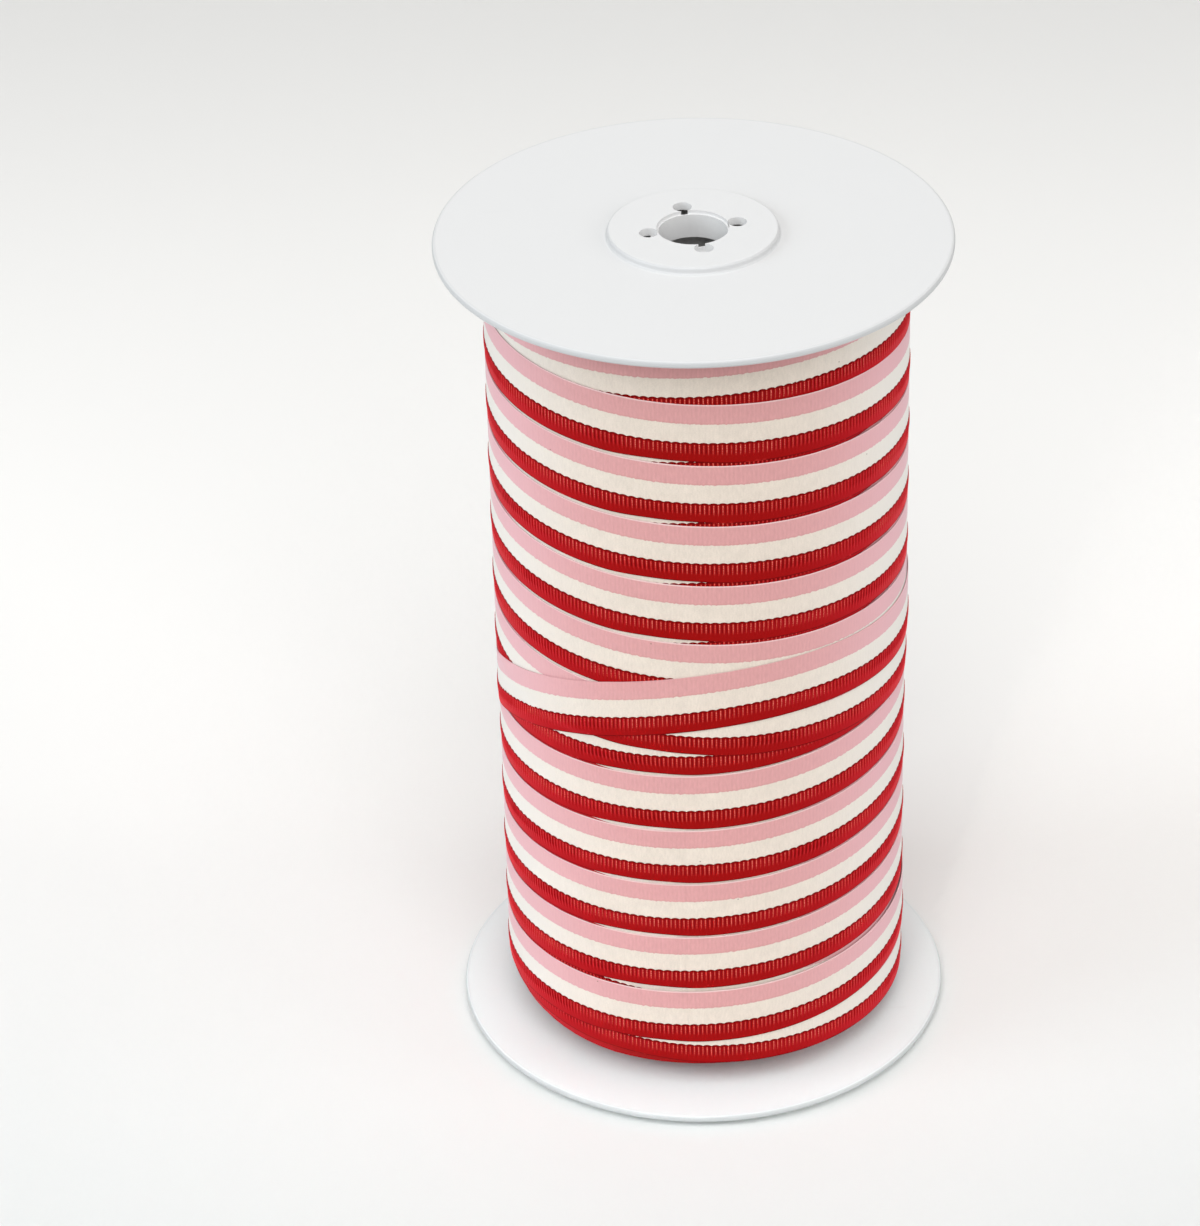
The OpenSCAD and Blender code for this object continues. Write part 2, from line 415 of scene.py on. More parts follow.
def make_tape_strip(name, path):
    """The ribbon's ground: a flat strip with slightly uneven edges."""
    w, ins, out = strip_start(name)
    mesh, turn, share, depth, cap = strip_grid(w, ins)
    width = w.sub(ins["Bottom edge"], ins["Top edge"])
    eased = w.sub(0.5, w.mul(w.math("COSINE", w.mul(share, math.pi)), 0.5))
    eased = w.add(w.mul(eased, w.sub(1.0, cap)), w.mul(cap, 0.5))
    uneven = w.mul(w.wander(turn, 90.0, 0.05 * MM), w.sub(1.0, cap))
    across = w.add(ins["Top edge"], w.mul(eased, width), uneven)
    at = use_group(w, path, Turn=turn, Across=across)
    flat_depth = w.add(w.mul(depth, w.sub(1.0, cap)), w.mul(cap, 0.5))
    inset = w.add(ins["Face inset"], w.mul(flat_depth, w.sub(ins["Back inset"], ins["Face inset"])))
    cockle = w.wander(w.add(turn, w.mul(across, 20.0)), 40.0, 0.03 * MM)
    radius = w.add(w.sub(at["Radius"], inset), w.mul(cockle, w.sub(1.0, flat_depth)))
    return strip_finish(w, ins, out, mesh, turn, across, radius, at["Height"])


RIBBED_W = 2.5 * MM  # how far the ribs reach below their top ends
RIB_H = 0.075 * MM  # half the depth from a rib's crest to the groove beside it
BAND_H, SELVEDGE_H = 0.10 * MM, 0.03 * MM  # how far the ribs and the smooth edge stand off the ground
SCALLOP = 0.30 * MM  # how far the ribs' rounded top ends stand above the notches between


def make_rib_strip(name, path):
    """The red edge of the ribbon: raised ribs with scalloped top ends above a smooth selvedge."""
    w, ins, out = strip_start(name)
    mesh, turn, share, depth, cap = strip_grid(w, ins)
    ribs = w.mul(w.sub(turn, ins["Map start"]), RIBS_PER_TURN)
    eased = w.power(share, 1.7)
    eased = w.add(w.mul(eased, w.sub(1.0, cap)), w.mul(cap, 0.5))
    rise = w.mul(w.power(w.math("ABSOLUTE", w.math("SINE", w.mul(ribs, math.pi / 2))), 0.7), SCALLOP)
    rise = w.mul(rise, w.sub(1.0, w.step(0.0, 0.2, eased)), w.sub(1.0, cap))
    width = w.sub(ins["Bottom edge"], ins["Top edge"])
    across = w.sub(w.add(ins["Top edge"], w.mul(eased, width)), rise)
    down = w.mul(eased, width)
    lean = w.mul(w.wander(turn, 9.0, 0.9), w.div(down, RIBBED_W), 1.0 / RIBS_PER_TURN)
    turn_at = w.add(turn, w.mul(lean, w.sub(1.0, cap)))
    at = use_group(w, path, Turn=turn_at, Across=across)
    ribbed = w.sub(1.0, w.step(RIBBED_W * 0.75, RIBBED_W * 1.1, down))
    strength = w.add(RIB_H, w.wander(turn, 75.0, 0.03 * MM))
    wave = w.mul(w.math("COSINE", w.mul(ribs, 2 * math.pi)), strength, ribbed)
    full = w.mul(w.step(-0.02, 0.07, eased), w.sub(1.0, w.step(0.93, 1.0, eased)))
    raised = w.add(SELVEDGE_H, w.mul(ribbed, BAND_H - SELVEDGE_H))
    face = w.mul(w.add(raised, wave), full)
    flat_depth = w.add(w.mul(depth, w.sub(1.0, cap)), w.mul(cap, 0.5))
    inset = w.add(ins["Face inset"], w.mul(flat_depth, w.sub(ins["Back inset"], ins["Face inset"])))
    radius = w.add(w.sub(at["Radius"], inset), w.mul(face, w.sub(1.0, flat_depth)))
    return strip_finish(w, ins, out, mesh, turn_at, across, radius, at["Height"])


# How far the ground's face and the ribs' hidden back lie inside the path's radius
FACE_INSET = 0.10 * MM
BAND_BACK = 0.16 * MM


def ribbon_tree(name, path, tape, ribs):
    """One run of ribbon: the ground over its whole length, and the ribs where they can be seen."""
    inputs = [
        ("Float", "First turn", 0.0),
        ("Float", "Last turn", 1.0),
        ("Float", "Ribs from turn", 0.0),
        ("Float", "Ribs to turn", 1.0),
        ("Float", "Steps per turn", 160.0),
        ("Int", "Ground rows", 9),
        ("Int", "Rib rows", 7),
    ]
    w, ins, out = new_group(name, "GeometryNodeTree", inputs, GEOMETRY_OUT)
    ground = use_group(
        w, make_tape_strip(name + " ground", path),
        First_turn=ins["First turn"], Last_turn=ins["Last turn"], Steps_per_turn=ins["Steps per turn"],
        Rows=ins["Ground rows"], Top_edge=0.0, Bottom_edge=RIBBON_W, Face_inset=FACE_INSET,
        Back_inset=RIBBON_T, Map_start=ins["First turn"], Material=tape,
    )
    band = use_group(
        w, make_rib_strip(name + " ribs", path),
        First_turn=ins["Ribs from turn"], Last_turn=ins["Ribs to turn"],
        Steps_per_turn=float(4 * RIBS_PER_TURN), Rows=ins["Rib rows"], Top_edge=RED_TOP,
        Bottom_edge=RIBBON_W + 0.03 * MM, Face_inset=FACE_INSET, Back_inset=BAND_BACK,
        Map_start=ins["First turn"], Material=ribs,
    )
    join = w.node("GeometryNodeJoinGeometry")
    w.put(join.inputs[0], ground[0])
    w.put(join.inputs[0], band[0])
    real = w.node("GeometryNodeRealizeInstances", Geometry=join.outputs[0])
    w.put(out["Geometry"], real.outputs[0])
    return w.tree


def grown(name, tree, **settings):
    """Runs a tree with its named inputs and returns the result as a plain mesh object."""
    mesh = bpy.data.meshes.new(name)
    piece = bpy.data.objects.new(name, mesh)
    bpy.context.scene.collection.objects.link(piece)
    modifier = piece.modifiers.new("shape", "NODES")
    modifier.node_group = tree
    sockets = {s.name: s.identifier for s in tree.interface.items_tree if s.in_out == "INPUT"}
    for key, value in settings.items():
        modifier[sockets[key.replace("_", " ")]] = value
    bpy.context.view_layer.update()
    shaped = bpy.data.meshes.new_from_object(piece.evaluated_get(bpy.context.evaluated_depsgraph_get()))
    piece.modifiers.remove(modifier)
    piece.data = shaped
    shaped.name = name
    return piece


# ---------------------------------------------------------------------------
# Materials
# ---------------------------------------------------------------------------
def new_material(name):
    material = bpy.data.materials.new(name)
    material.use_nodes = True
    w = Wires(material.node_tree)
    return material, w, material.node_tree.nodes["Principled BSDF"]


def shaded(colour, factor):
    """A colour made darker or lighter."""
    return tuple(c * factor for c in colour)


PINK = (0.60, 0.30, 0.296)
PINK_EDGE_PALE_AND_HIGHLIGHT = (0.84, 0.72, 0.70)  # the pale thread along its top edge, brightened into a painted highlight
CREAM = (0.675, 0.59, 0.51)
RED = (0.33, 0.004, 0.0025)
RED_DARK = (0.12, 0.001, 0.002)
# painted glint on the rib crests
RED_PAINTED_GLINT = (0.85, 0.25, 0.19)
# Painted sheen: lighter colours that the threads are given where they are seen edge on, standing in for
# light caught by their fuzz
PINK_PAINTED_SHEEN = (0.74, 0.435, 0.475)
CREAM_PAINTED_SHEEN = (0.77, 0.74, 0.70)
RED_PAINTED_SHEEN = (0.54, 0.008, 0.018)
LINT = (0.12, 0.09, 0.07)
THREAD_H = 0.06 * MM  # relief of the threads


def make_thread_group():
    """Places on the ribbon: rib count along it, millimetres across it, and the grain of its threads."""
    w, ins, out = new_group(
        "ribbon threads", "ShaderNodeTree", [],
        [("Float", label) for label in ("Ribs", "Across", "Rib wave", "Grain", "Cloud")],
    )
    uv = w.apart(w.node("ShaderNodeUVMap", {"uv_map": "OFBake"}).outputs[0])
    ribs = w.mul(uv[0], float(RIBS_PER_TILE))
    across = w.sub(w.mul(w.sub(1.0, uv[1]), (RIBBON_W + 2 * MAP_EDGE) / MM), MAP_EDGE / MM)
    w.put(out["Ribs"], ribs)
    w.put(out["Across"], across)
    w.put(out["Rib wave"], w.add(0.5, w.mul(w.math("COSINE", w.mul(ribs, 2 * math.pi)), 0.5)))
    w.put(out["Grain"], w.noise(w.vector(w.mul(ribs, 2.2), w.mul(across, 9.0))))
    w.put(out["Cloud"], w.noise(w.vector(w.mul(ribs, 0.35), w.mul(across, 0.3)), detail=3.0))
    return w.tree


THREADS = make_thread_group()


def facing_of(w):
    """1 where the surface faces the eye, 0 where it is seen edge on."""
    return w.sub(1.0, w.node("ShaderNodeLayerWeight", Blend=0.5).outputs["Facing"])


def make_cloth(name, edge_highlight_share):
    """Ground of the ribbon: pink and cream bands, with red beneath the ribs."""
    material, w, shader = new_material(name)
    t = use_group(w, THREADS)
    jag = w.noise(w.vector(w.mul(t["Ribs"], 1.1), 0.0))
    edge = w.add(PINK_W / MM, w.mul(w.sub(jag, 0.5), 0.75))
    cream = w.step(w.sub(edge, 0.05), w.add(edge, 0.05), t["Across"])
    red = w.step(RED_TOP / MM - 0.02, RED_TOP / MM + 0.02, t["Across"])
    # Fine lines across the ribbon, one or two to a rib, stronger on the pink
    lines = w.noise(w.vector(w.mul(t["Ribs"], 2.3), w.mul(t["Across"], 0.7)))
    shade = w.add(w.mul(t["Rib wave"], 0.1), w.mul(lines, 0.6), w.mul(t["Grain"], 0.3))
    pink = w.mix(shade, shaded(PINK, 0.80), shaded(PINK, 1.20))
    border = w.step(0.42, 0.05, w.sub(edge, t["Across"]))
    pink = w.mix(w.mul(border, 0.35), pink, shaded(PINK, 0.78))
    # Along the top edge a pale thread, which also serves as a painted highlight
    selvedge = w.step(0.30, 0.06, t["Across"])
    pink = w.mix(w.mul(selvedge, edge_highlight_share), pink, PINK_EDGE_PALE_AND_HIGHLIGHT)
    pale = w.add(w.mul(t["Grain"], 0.45), w.mul(t["Cloud"], 0.25), w.mul(lines, 0.3))
    pale = w.mix(w.step(0.25, 0.75, pale), shaded(CREAM, 0.87), shaded(CREAM, 1.12))
    # A few specks of lint caught in the weave
    cells = w.node(
        "ShaderNodeTexVoronoi", {"voronoi_dimensions": "2D"},
        Vector=w.vector(w.mul(t["Ribs"], 0.84), t["Across"]), Scale=0.09,
    )
    rare = w.math("GREATER_THAN", w.apart(cells.outputs["Color"])[0], 0.86)
    speck = w.mul(w.sub(1.0, w.step(0.006, 0.016, cells.outputs["Distance"])), rare)
    # Painted sheen: seen edge on, the pink, cream and red are mixed towards their painted sheen colours
    side = w.sub(1.0, w.step(0.3, 0.9, facing_of(w)))
    pink = w.mix(w.mul(side, 0.85), pink, PINK_PAINTED_SHEEN)
    pale = w.mix(w.mul(side, 0.85), pale, CREAM_PAINTED_SHEEN)
    colour = w.mix(cream, pink, pale)
    colour = w.mix(w.mul(speck, 0.8), colour, LINT)
    colour = w.mix(red, colour, w.mix(side, RED, RED_PAINTED_SHEEN))
    w.put(shader.inputs["Base Color"], colour)
    w.put(shader.inputs["Roughness"], w.add(0.5, w.mul(t["Grain"], 0.14)))
    height = w.add(w.mul(t["Rib wave"], 0.6), w.mul(t["Grain"], 0.6), w.mul(lines, 0.5))
    w.put(shader.inputs["Normal"], w.bump(height, 0.35, THREAD_H))
    shader.inputs["IOR"].default_value = 1.2
    shader.inputs["Sheen Weight"].default_value = 0.25
    shader.inputs["Sheen Roughness"].default_value = 0.3
    shader.inputs["Sheen Tint"].default_value = (0.80, 0.92, 1.0, 1.0)
    return material


def make_ribs():
    """Red ribs: painted glints along each cord, painted shade between them, painted sheen where seen from
    the side, dark edge lines that are partly painted shade, and a smooth dark selvedge.
    """
    material, w, shader = new_material("ribbon_ribs")
    t = use_group(w, THREADS)
    down = w.sub(t["Across"], RED_TOP / MM)
    ribbed = w.sub(1.0, w.step(RIBBED_W / MM * 0.75, RIBBED_W / MM * 1.05, down))
    number = w.math("FLOOR", w.add(t["Ribs"], 0.5))
    each = w.node("ShaderNodeTexWhiteNoise", {"noise_dimensions": "1D"}, W=number).outputs[0]
    # Painted glints: pale streaks on the rib crests, brightest near their top ends, broken up and random
    # from rib to rib
    crest = w.power(t["Rib wave"], 14.0)
    broken = w.noise(w.vector(w.mul(t["Ribs"], 2.0), w.mul(down, 5.5)))
    near_top = w.mul(w.step(0.08, 0.3, down), w.sub(1.0, w.mul(w.step(0.3, 2.2, down), 0.55)))
    strength = w.mul(w.add(0.6, each), w.step(0.38, 0.62, broken))
    painted_glint = w.mul(crest, near_top, ribbed, strength)
    # Painted shade in the grooves between the ribs
    between = w.mul(w.sub(1.0, t["Rib wave"]), ribbed)
    colour = w.mix(w.mul(between, 0.82), shaded(RED, 1.12), RED_DARK)
    colour = w.mix(w.mul(w.sub(1.0, ribbed), 0.38), colour, RED_DARK)
    # Painted sheen: seen from the side the cord is painted a brighter red, and the painted glint fades there
    facing = facing_of(w)
    colour = w.mix(w.mul(w.sub(1.0, w.step(0.3, 0.9, facing)), 0.8), colour, RED_PAINTED_SHEEN)
    colour = w.mix(w.mul(painted_glint, w.step(0.45, 0.8, facing)), colour, RED_PAINTED_GLINT)
    # Dark lines along the band's top and bottom edges: partly darker edge threads, partly painted shade
    rim = w.add(w.sub(1.0, w.step(0.02, 0.18, down)), w.step(3.9, 4.05, down))
    colour = w.mix(w.mul(w.clamp(rim), 0.75), colour, RED_DARK)
    w.put(shader.inputs["Base Color"], colour)
    w.put(shader.inputs["Roughness"], w.sub(0.48, w.mul(t["Grain"], 0.14)))
    height = w.add(w.mul(t["Grain"], 0.8), w.mul(broken, 0.4))
    w.put(shader.inputs["Normal"], w.bump(height, 0.4, THREAD_H))
    shader.inputs["IOR"].default_value = 1.1
    shader.inputs["Sheen Weight"].default_value = 0.9
    shader.inputs["Sheen Roughness"].default_value = 0.3
    shader.inputs["Sheen Tint"].default_value = (1.0, 0.03, 0.05, 1.0)
    return material


def make_grain_group():
    """Fine grain and slow cloud on a moulded or papery surface, from the object's own place."""
    w, ins, out = new_group(
        "surface grain", "ShaderNodeTree",
        [("Float", "Grain scale", 900.0), ("Float", "Cloud scale", 25.0)],
        [("Float", "Grain"), ("Float", "Cloud")],
    )
    place = w.node("ShaderNodeTexCoord").outputs["Object"]
    w.put(out["Grain"], w.noise(place, detail=3.0, scale=ins["Grain scale"]))
    w.put(out["Cloud"], w.noise(place, detail=3.0, scale=ins["Cloud scale"]))
    return w.tree


GRAIN = make_grain_group()
RIM_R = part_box("top_flange")[1].x
HUB_R = 16.5 * MM  # the raised hub of a flange
PLASTIC = (0.745, 0.745, 0.745)
PLASTIC_LOW_PAINTED_LIGHT = (0.835, 0.895, 0.895)  # the lower flange, painted lighter and cooler: painted light against its shade and the red bounce from the ribbon
PLASTIC_PAINTED_SHADE = (0.42, 0.43, 0.44)
PLASTIC_CLOUD = (0.6, 0.6, 0.6)
PLASTIC_SCUFF = (0.70, 0.70, 0.70)


def make_plastic():
    """White moulded plastic: satin, faintly mottled, with a few light scuffs, painted shade on the rim and
    the hub's side, and the lower flange painted lighter.
    """
    material, w, shader = new_material("spool_plastic")
    g = use_group(w, GRAIN, Grain_scale=1400.0, Cloud_scale=28.0)
    place = w.node("ShaderNodeTexCoord").outputs["Object"]
    stretched = w.node("ShaderNodeMapping", {"vector_type": "POINT"}, Vector=place)
    stretched.inputs["Scale"].default_value = (60.0, 420.0, 60.0)
    stretched.inputs["Rotation"].default_value = (0.0, 0.0, 0.6)
    scuff = w.mul(w.step(0.66, 0.78, w.noise(stretched.outputs[0])), w.step(0.5, 0.62, g["Cloud"]))
    at = w.apart(place)
    # Painted light: the lower flange is given a lighter, cooler white
    low = w.step(0.1, 0.05, at[2])
    base = w.mix(low, PLASTIC, PLASTIC_LOW_PAINTED_LIGHT)
    colour = w.mix(w.mul(g["Cloud"], 0.07), base, PLASTIC_CLOUD)
    # Painted shade: the cut rim, a ring just inside it, and the side of the hub are greyed
    radius = w.math("SQRT", w.add(w.mul(at[0], at[0]), w.mul(at[1], at[1])))
    hub = w.step(0.5 * MM, 0.15 * MM, w.math("ABSOLUTE", w.sub(radius, HUB_R)))
    outer_rim = w.step(RIM_R - 0.35 * MM, RIM_R - 0.1 * MM, radius)
    inner_rim = w.step(RIM_R - 0.9 * MM, RIM_R - 0.4 * MM, radius)
    rim = w.add(outer_rim, w.mul(inner_rim, 0.45))
    colour = w.mix(w.clamp(w.add(w.mul(rim, 0.52), w.mul(hub, 0.5))), colour, PLASTIC_PAINTED_SHADE)
    colour = w.mix(w.mul(scuff, 0.25), colour, PLASTIC_SCUFF)
    w.put(shader.inputs["Base Color"], colour)
    w.put(shader.inputs["Roughness"], w.add(0.36, w.mul(g["Cloud"], 0.1), w.mul(scuff, 0.15)))
    height = w.add(g["Grain"], w.mul(g["Cloud"], 2.0))
    w.put(shader.inputs["Normal"], w.bump(height, 0.12, 0.04 * MM))
    return material


BOARD_DARK, BOARD_PALE, BOARD_SEAM = (0.30, 0.22, 0.14), (0.52, 0.42, 0.29), (0.12, 0.085, 0.055)
BOARD_PITCH = 45 * MM  # the seam climbs this far in one turn


def make_board():
    """Core board: grey-brown paper wound in a spiral, with a seam and short fibres."""
    material, w, shader = new_material("core_board")
    g = use_group(w, GRAIN, Grain_scale=700.0, Cloud_scale=60.0)
    place = w.apart(w.node("ShaderNodeTexCoord").outputs["Object"])
    angle = w.div(w.math("ARCTAN2", place[1], place[0]), 2 * math.pi)
    spiral = w.math("FRACT", w.add(w.div(place[2], BOARD_PITCH), angle))
    seam = w.sub(1.0, w.step(0.0, 0.012, w.math("ABSOLUTE", w.sub(spiral, 0.5))))
    fibre = w.noise(w.vector(w.mul(angle, 90.0), w.mul(place[2], 2200.0)))
    colour = w.mix(w.add(w.mul(g["Cloud"], 0.6), w.mul(fibre, 0.5)), BOARD_DARK, BOARD_PALE)
    colour = w.mix(w.mul(seam, 0.7), colour, BOARD_SEAM)
    w.put(shader.inputs["Base Color"], colour)
    w.put(shader.inputs["Roughness"], w.add(0.78, w.mul(g["Grain"], 0.12)))
    height = w.sub(w.add(g["Grain"], fibre), seam)
    w.put(shader.inputs["Normal"], w.bump(height, 0.4, 0.12 * MM))
    return material


TAPE_CLEAR, TAPE_BUBBLE = (0.82, 0.80, 0.74), (0.92, 0.91, 0.88)


def make_tape():
    """Clear adhesive tape: milky, glossy, with faint bubbles under it."""
    material, w, shader = new_material("clear_tape")
    g = use_group(w, GRAIN, Grain_scale=500.0, Cloud_scale=160.0)
    bubble = w.step(0.55, 0.68, g["Cloud"])
    w.put(shader.inputs["Base Color"], w.mix(bubble, TAPE_CLEAR, TAPE_BUBBLE))
    w.put(shader.inputs["Roughness"], w.add(0.16, w.mul(g["Grain"], 0.14)))
    w.put(shader.inputs["Alpha"], w.add(0.26, w.mul(bubble, 0.10)))
    w.put(shader.inputs["Normal"], w.bump(g["Cloud"], 0.3, 0.08 * MM))
    return material


cloth, ribs = make_cloth("ribbon_cloth", 0.65), make_ribs()
last_cloth = make_cloth("ribbon_cloth_last_turn", 0.0)  # its top edge gets no painted highlight
plastic, board, clear_tape = make_plastic(), make_board(), make_tape()


# ---------------------------------------------------------------------------
# The ribbon
# ---------------------------------------------------------------------------
inner_path, outer_path, last_path = make_inner_path(), make_outer_path(), make_last_path()
inner_tree = ribbon_tree("inner runs", inner_path, cloth, ribs)
outer_tree = ribbon_tree("outer run", outer_path, cloth, ribs)
last_tree = ribbon_tree("last turn", last_path, last_cloth, ribs)

under_run = grown("under_run", inner_tree, First_turn=START_TURN, Last_turn=LOW_TURN,
                  Ribs_from_turn=-1.35, Ribs_to_turn=LOW_TURN)
SPLIT_TURN = 6.5  # the climbing run is kept as two pieces, so that neither is too heavy
rising_run = grown("rising_run", inner_tree, First_turn=LOW_TURN, Last_turn=SPLIT_TURN,
                   Ribs_from_turn=LOW_TURN, Ribs_to_turn=SPLIT_TURN)
rising_run_high = grown("rising_run_high", inner_tree, First_turn=SPLIT_TURN, Last_turn=HIGH_TURN,
                        Ribs_from_turn=SPLIT_TURN, Ribs_to_turn=HIGH_TURN)
outer_run = grown("outer_run", outer_tree, First_turn=HIGH_TURN, Last_turn=LAST_FROM,
                  Ribs_from_turn=HIGH_TURN, Ribs_to_turn=LAST_FROM)
last_turn = grown("last_turn", last_tree, First_turn=LAST_FROM, Last_turn=LAST_TO,
                  Ribs_from_turn=LAST_FROM, Ribs_to_turn=LAST_TO)
loose_end = grown("loose_end", last_tree, First_turn=TAIL_TURN, Last_turn=TAIL_END_TURN,
                  Ribs_from_turn=TAIL_TURN, Ribs_to_turn=TAIL_END_TURN)


def make_pack_tree():
    """The inner turns: their outermost run, and the ribbon's edges wound round at both ends."""
    inputs = [("Float", "End turns", 50.0), ("Float", "Face turns", 11.0), ("Float", "Steps per turn", 72.0)]
    w, ins, out = new_group("wound pack", "GeometryNodeTree", inputs, GEOMETRY_OUT)
    join = w.node("GeometryNodeJoinGeometry")
    low_z, high_z = CORE_LOW.z + 1.0 * MM, CORE_HIGH.z - 1.0 * MM
    face = use_group(
        w, make_tape_strip("pack face ground", make_pack_path()),
        First_turn=w.sub(START_TURN, ins["Face turns"]), Last_turn=START_TURN,
        Steps_per_turn=ins["Steps per turn"], Rows=6, Top_edge=0.0, Bottom_edge=RIBBON_W,
        Map_start=START_TURN, Material=cloth,
    )
    low_path = make_pack_end_path("lower edges path", RIBBON_W, low_z, RUNS_LOW, 1.0)
    high_path = make_pack_end_path("upper edges path", 0.0, high_z, RUNS_HIGH, -1.0)
    ends = [
        ("lower edges", RED_TOP, RIBBON_W, low_path),
        ("upper edges", 0.0, RED_TOP, high_path),
    ]
    w.put(join.inputs[0], face[0])
    for name, top, bottom, path in ends:
        edges = use_group(
            w, make_tape_strip(name, path), First_turn=0.0, Last_turn=ins["End turns"],
            Steps_per_turn=ins["Steps per turn"], Rows=2, Top_edge=top, Bottom_edge=bottom,
            Map_start=0.0, Material=cloth,
        )
        w.put(join.inputs[0], edges[0])
    real = w.node("GeometryNodeRealizeInstances", Geometry=join.outputs[0])
    w.put(out["Geometry"], real.outputs[0])
    return w.tree


wound_pack = grown("wound_pack", make_pack_tree(),
                   End_turns=(PACK_R - PACK_IN_R) / PACK_STEP, Face_turns=PACK_TURNS)

# ---------------------------------------------------------------------------
# Who rides on what
# ---------------------------------------------------------------------------
TURN_LENGTH = 2 * math.pi * OUTER_R
for piece, nodes, body, length in (
    (wound_pack, ["ribbon_pack"], "spool", None),
    (under_run, ["ribbon_under_run"], "spool", (LOW_TURN - START_TURN) * TURN_LENGTH),
    (rising_run, ["ribbon_rising_run"], "spool", (SPLIT_TURN - LOW_TURN) * TURN_LENGTH),
    (rising_run_high, ["ribbon_rising_run"], "spool", (HIGH_TURN - SPLIT_TURN) * TURN_LENGTH),
    (outer_run, ["ribbon_outer_run"], "spool", (LAST_FROM - HIGH_TURN) * TURN_LENGTH),
    (last_turn, ["ribbon_last_turn"], "spool", (LAST_TO - LAST_FROM) * TURN_LENGTH),
    (loose_end, ["ribbon_tail"], "ribbon_end", (TAIL_END_TURN - TAIL_TURN) * TURN_LENGTH),
):
    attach(piece, body)
    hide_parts(*nodes)

for node, material in (
    ("top_flange", plastic), ("bottom_flange", plastic), ("core_tube", board),
    ("start_tape", clear_tape), ("end_tape", clear_tape),
):
    node_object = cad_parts[node]
    if not node_object.material_slots:
        node_object.data.materials.append(material)
    for slot in node_object.material_slots:
        slot.material = material

# ---------------------------------------------------------------------------
# Floor, light and camera
# ---------------------------------------------------------------------------
FLOOR_COLOUR = (0.91, 0.90, 0.882)
# Painted shade on the floor: darker and cooler near the front, darker far behind
FLOOR_NEAR_PAINTED_SHADE = (0.725, 0.742, 0.735)
FLOOR_FAR_PAINTED_SHADE = shaded(FLOOR_COLOUR, 0.79)
ROOM_COLOUR = (0.90, 0.895, 0.885, 1.0)
SKY_COLOUR, SKY_STRENGTH = (1.0, 0.996, 0.988, 1.0), 0.37


def make_floor():
    """A pale sweep: flat under the spool, and curved up far behind it."""
    across, rise, back, bend = 3.0, 2.0, 1.6, 0.6
    profile = [(-2.2, 0.0), (back - bend, 0.0)]
    profile += [
        (back - bend + bend * math.sin(a), bend - bend * math.cos(a))
        for a in (math.pi / 2 * i / 16 for i in range(1, 17))
    ]
    profile.append((back, rise))
    points = [(x, y, z) for y, z in profile for x in (-across, across)]
    faces = [(2 * i, 2 * i + 1, 2 * i + 3, 2 * i + 2) for i in range(len(profile) - 1)]
    mesh = bpy.data.meshes.new("floor")
    mesh.from_pydata(points, [], faces)
    mesh.polygons.foreach_set("use_smooth", [True] * len(faces))
    floor = bpy.data.objects.new("floor", mesh)
    bpy.context.scene.collection.objects.link(floor)
    material, w, shader = new_material("floor_paper")
    place = w.node("ShaderNodeTexCoord").outputs["Object"]
    colour = w.mix(w.noise(place, scale=6.0), shaded(FLOOR_COLOUR, 0.99), FLOOR_COLOUR)
    # Painted shade: the floor darkens towards the front and far back
    depth = w.apart(place)[1]
    colour = w.mix(w.step(-0.10, 0.09, depth), FLOOR_NEAR_PAINTED_SHADE, colour)
    colour = w.mix(w.step(0.18, 0.62, depth), colour, FLOOR_FAR_PAINTED_SHADE)
    w.put(shader.inputs["Base Color"], colour)
    shader.inputs["Roughness"].default_value = 0.8
    mesh.materials.append(material)
    return floor


make_floor()


def add_light(name, power, size, place, aim, colour, spread=180):
    """A soft area light. Power is in watts, size in metres, and spread in degrees."""
    data = bpy.data.lights.new(name, "AREA")
    data.shape = "RECTANGLE"
    data.size, data.size_y = size
    data.energy = power
    data.color = colour
    light = bpy.data.objects.new(name, data)
    bpy.context.scene.collection.objects.link(light)
    light.location = place
    light.rotation_euler = (Vector(place) - Vector(aim)).to_track_quat("Z", "Y").to_euler()
    data.spread = math.radians(spread)
    return light


middle = Vector((0.0, 0.0, 0.09))
foot = Vector((0.0, 0.0, -0.02))
add_light("main softbox", 37.5, (1.8, 1.8), (0.0, -1.35, 1.95), middle, (0.995, 0.997, 1.0))
add_light("left softbox", 19.0, (1.1, 1.1), (-1.8, -0.6, 1.0), middle, (0.90, 0.96, 1.0))
add_light("right softbox", 11.0, (1.1, 1.1), (1.8, -0.6, 0.9), middle, (1.0, 0.99, 0.97))
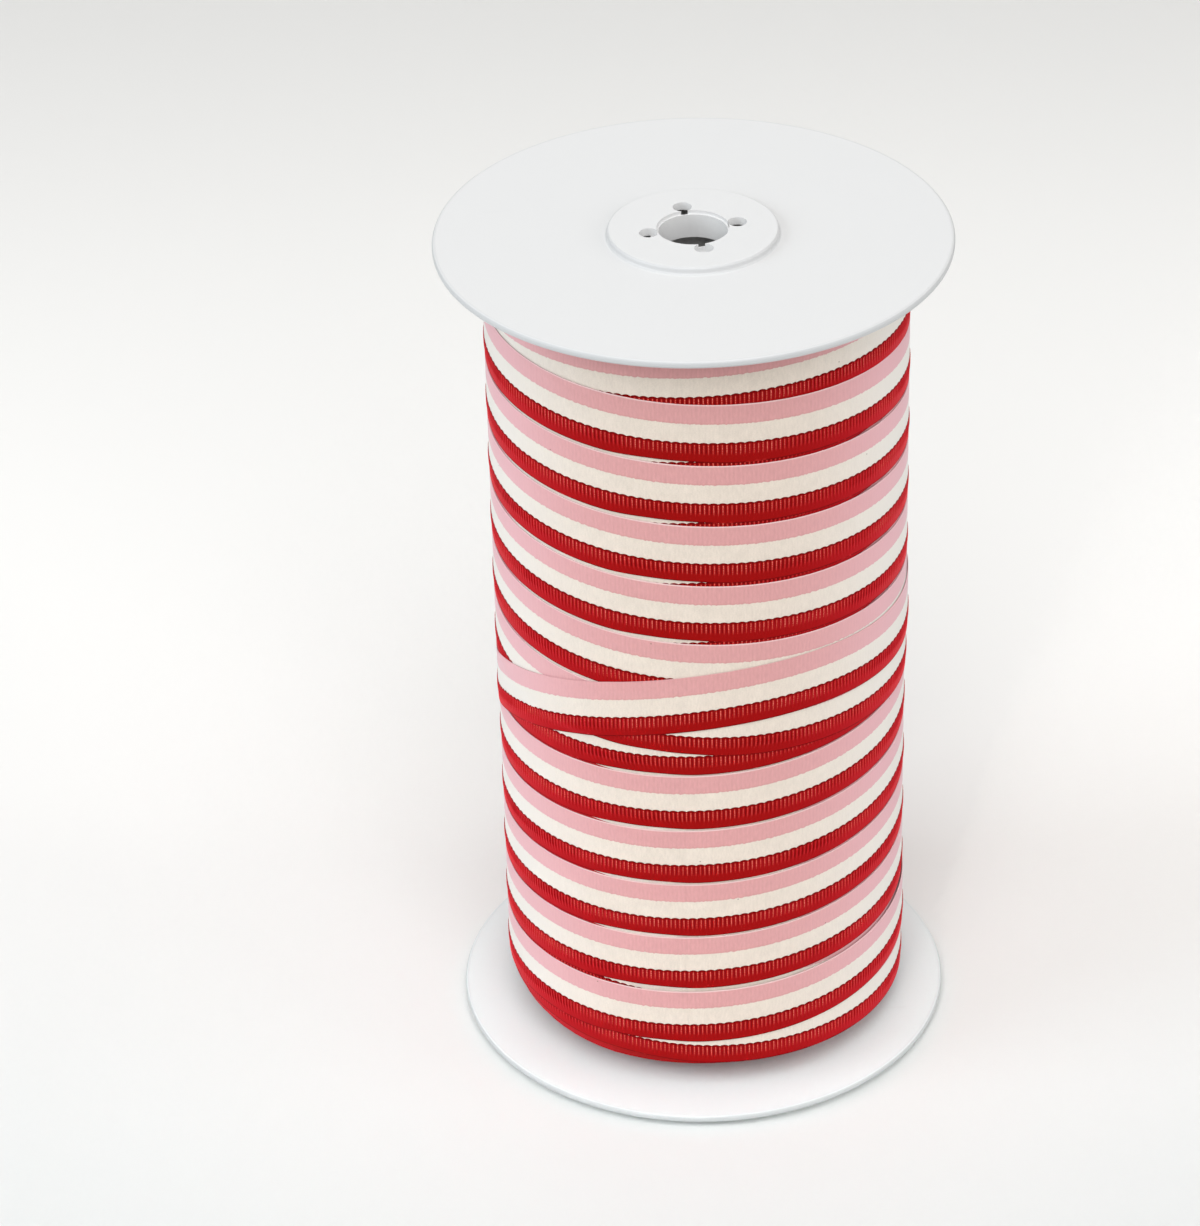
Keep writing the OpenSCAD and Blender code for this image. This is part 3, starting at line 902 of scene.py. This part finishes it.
# A narrow light that reaches only the foot of the spool
add_light("low front softbox", 0.0195, (0.2, 0.2), (-0.40, -1.25, 0.50), foot, (1.0, 0.99, 0.98),
          spread=8)

world = bpy.data.worlds.new("studio")
bpy.context.scene.world = world
world.use_nodes = True
sky = world.node_tree.nodes["Background"]
sky.inputs["Color"].default_value = SKY_COLOUR
sky.inputs["Strength"].default_value = SKY_STRENGTH
# Past the edges of the floor the room looks as pale as the floor does
room = Wires(world.node_tree)
seen = room.node("ShaderNodeBackground", Color=ROOM_COLOUR, Strength=1.0)
choose = room.node("ShaderNodeMixShader")
ray = room.node("ShaderNodeLightPath").outputs
seen_by = room.add(ray["Is Camera Ray"], ray["Is Glossy Ray"], ray["Is Transmission Ray"])
room.put(choose.inputs[0], room.clamp(seen_by))
room.put(choose.inputs[1], sky.outputs[0])
room.put(choose.inputs[2], seen.outputs[0])
room.put(world.node_tree.nodes["World Output"].inputs[0], choose.outputs[0])


def add_camera():
    """The camera looks down on the spool from the front, a little to its right, and rolled."""
    elevation, roll = 0.56442, 0.02672  # radians
    distance, aside, above = 963.5 * MM, 19.782 * MM, -1.935 * MM
    aim = Vector((0.0, 0.0, 89.41 * MM))
    right = Vector((1.0, 0.0, 0.0))
    up = Vector((0.0, math.sin(elevation), math.cos(elevation)))
    forward = Vector((0.0, math.cos(elevation), -math.sin(elevation)))
    rolled_right = math.cos(roll) * right - math.sin(roll) * up
    rolled_up = math.sin(roll) * right + math.cos(roll) * up
    place = aim - aside * rolled_right - above * rolled_up - distance * forward
    data = bpy.data.cameras.new("camera")
    data.sensor_fit = "HORIZONTAL"
    data.sensor_width = 36.0
    data.lens = 143.8863
    data.clip_start, data.clip_end = 0.05, 20.0
    camera = bpy.data.objects.new("camera", data)
    bpy.context.scene.collection.objects.link(camera)
    turned = Matrix((rolled_right, rolled_up, -forward)).transposed().to_4x4()
    camera.matrix_world = Matrix.Translation(place) @ turned
    bpy.context.scene.camera = camera


add_camera()
bpy.context.scene.view_settings.view_transform = "Standard"
